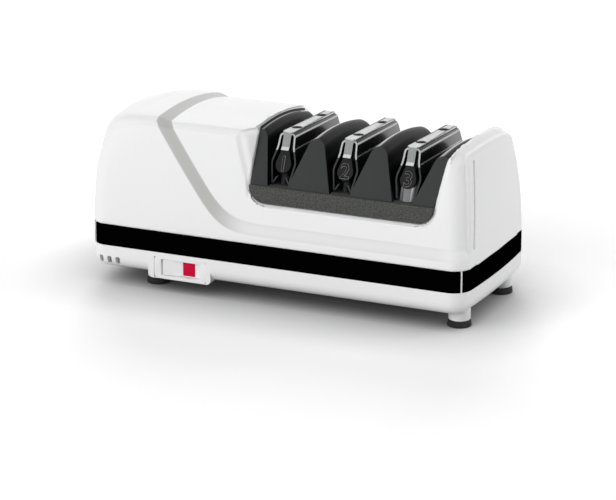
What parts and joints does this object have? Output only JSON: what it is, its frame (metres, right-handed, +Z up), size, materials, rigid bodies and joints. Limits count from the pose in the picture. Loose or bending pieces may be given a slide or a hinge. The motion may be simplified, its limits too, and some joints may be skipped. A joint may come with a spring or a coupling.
{
  "type": "electric knife sharpener",
  "caption": "Bench-top electric knife sharpener: white housing with a dark band, guided blade slots over spring-loaded discs on a motor shaft, rocker switch and rubber feet.",
  "frame": {"origin": "on the table, under the middle of the body", "axes": "+X along the machine from the motor end to the slots, +Y to the back, +Z up"},
  "size_m": [0.256, 0.1056, 0.1111],
  "materials": {
    "housing": "moulded, polished",
    "band": "moulded, polished",
    "guides": "moulded, fine grain",
    "apron": "moulded, coarse grain",
    "spring": "moulded, polished",
    "plate": "moulded",
    "strip": "brushed",
    "polished": "polished",
    "fastener": "black oxide",
    "pad": "moulded",
    "red": "moulded, polished",
    "switch_black": "moulded",
    "steel": "turned",
    "laminations": "stacked sheet",
    "copper": "enamelled wire",
    "bronze": "sintered",
    "bracket": "cast",
    "fan": "moulded",
    "diamond": "abrasive coated",
    "strop": "filled polymer",
    "magnet": "sintered"
  },
  "bodies": {
    "root": {"upper_housing": "housing", "base_tray": "housing", "front_band": "band", "rear_band": "band", "foot_pads": "pad", "guide_deck": "guides", "front_apron": "apron", "rear_apron": "apron", "ridge_left": "guides", "ridge_1_2": "guides", "ridge_2_3": "guides", "ridge_right": "guides", "strip_screws": "fastener", "stage_3_sleeve": "polished", "stator": "laminations", "field_coils": "copper", "motor_bracket_left": "bracket", "motor_bracket_right": "bracket", "end_bracket": "bracket", "left_bearing": "bronze", "right_bearing": "bronze", "end_bearing": "bronze", "motor_bolts": "steel", "bracket_screws": "steel", "switch_frame": "housing", "switch_body": "switch_black", "cord_inlet": "switch_black", "base_screws": "steel", "guide_bridge_1": "plate", "guide_spring_1": "spring", "top_strip_1": "strip", "number_plate_1": "plate", "guide_bridge_2": "plate", "guide_spring_2": "spring", "top_strip_2": "strip", "number_plate_2": "plate", "guide_bridge_3": "plate", "guide_spring_3": "spring", "top_strip_3": "strip", "number_plate_3": "plate"},
    "spindle": {"drive_shaft": "steel", "drive_pins": "steel", "rotor": "laminations", "fan": "fan", "disc_spring_1": "steel", "disc_spring_2": "steel", "disc_spring_3": "steel"},
    "rocker": {"power_rocker": "housing", "rocker_flag": "red"},
    "cover": {"clean_out_cover": "housing", "filings_magnet": "magnet"},
    "disc_1_left_slide": {"disc_1_left": "diamond"},
    "disc_1_right_slide": {"disc_1_right": "diamond"},
    "disc_2_left_slide": {"disc_2_left": "diamond"},
    "disc_2_right_slide": {"disc_2_right": "diamond"},
    "disc_3_left_slide": {"disc_3_left": "strop"},
    "disc_3_right_slide": {"disc_3_right": "strop"}
  },
  "joints": [
    {"name": "spindle_spin", "type": "hinge", "parent": "root", "child": "spindle", "pos_m": [0, 0, 0.058], "axis": [1, 0, 0], "continuous": true},
    {"name": "rocker_tilt", "type": "hinge", "parent": "root", "child": "rocker", "pos_m": [-0.0625, -0.04725, 0.0158], "axis": [0, 0, -1], "range_deg": [0, 16]},
    {"name": "cover_drop", "type": "slide", "parent": "root", "child": "cover", "axis": [0, 0, -1], "range_m": [0, 0.006]},
    {"name": "disc_1_left_travel", "type": "slide", "parent": "spindle", "child": "disc_1_left_slide", "axis": [1, 0, 0], "range_m": [0, 0.0012], "stiffness_N_per_m": 500, "springref_m": -0.003, "deforming": ["disc_spring_1"]},
    {"name": "disc_1_right_travel", "type": "slide", "parent": "spindle", "child": "disc_1_right_slide", "axis": [-1, 0, 0], "range_m": [0, 0.0012], "stiffness_N_per_m": 500, "springref_m": -0.003, "deforming": ["disc_spring_1"]},
    {"name": "disc_2_left_travel", "type": "slide", "parent": "spindle", "child": "disc_2_left_slide", "axis": [1, 0, 0], "range_m": [0, 0.0012], "stiffness_N_per_m": 500, "springref_m": -0.003, "deforming": ["disc_spring_2"]},
    {"name": "disc_2_right_travel", "type": "slide", "parent": "spindle", "child": "disc_2_right_slide", "axis": [-1, 0, 0], "range_m": [0, 0.0012], "stiffness_N_per_m": 500, "springref_m": -0.003, "deforming": ["disc_spring_2"]},
    {"name": "disc_3_left_travel", "type": "slide", "parent": "spindle", "child": "disc_3_left_slide", "axis": [1, 0, 0], "range_m": [0, 0.0012], "stiffness_N_per_m": 500, "springref_m": -0.003, "deforming": ["disc_spring_3"]},
    {"name": "disc_3_right_travel", "type": "slide", "parent": "spindle", "child": "disc_3_right_slide", "axis": [-1, 0, 0], "range_m": [0, 0.0012], "stiffness_N_per_m": 500, "springref_m": -0.003, "deforming": ["disc_spring_3"]}
  ]
}
